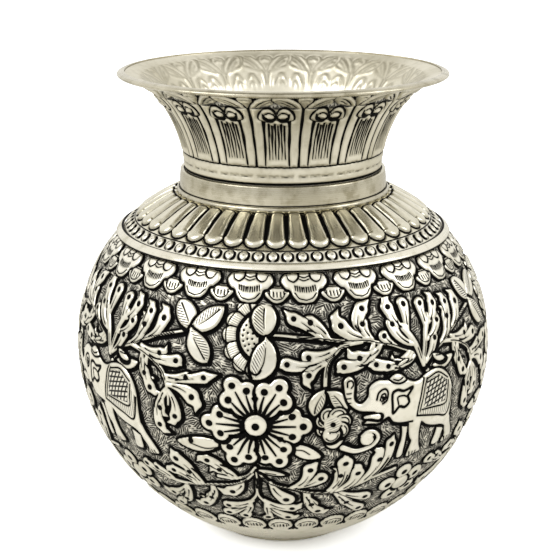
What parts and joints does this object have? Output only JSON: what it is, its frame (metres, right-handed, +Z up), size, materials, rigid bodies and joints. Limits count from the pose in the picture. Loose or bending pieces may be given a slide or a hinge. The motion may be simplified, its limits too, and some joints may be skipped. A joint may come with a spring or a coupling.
{
  "type": "kalash",
  "caption": "Round-bodied ritual water pot of chased silver sheet, with a gadrooned shoulder, a plain collar and a wide flared mouth.",
  "frame": {"origin": "centre of the base, on the surface the pot stands on", "axes": "+Z up along the pot's axis; -Y is the front, the side that the picture shows"},
  "size_m": [0.1126, 0.1126, 0.1266],
  "materials": {
    "chased_silver": "silver, chased in relief, bright on top and blackened in the sunk ground and lines",
    "polished_silver": "silver, hand polished, with faint turning lines"
  },
  "bodies": {
    "root": {"base_disc": "polished_silver", "bowl": "chased_silver", "seam_band": "polished_silver", "shoulder": "chased_silver", "collar_wire": "polished_silver", "collar_band": "polished_silver", "neck": "chased_silver", "rim_wire": "polished_silver"}
  },
  "joints": []
}
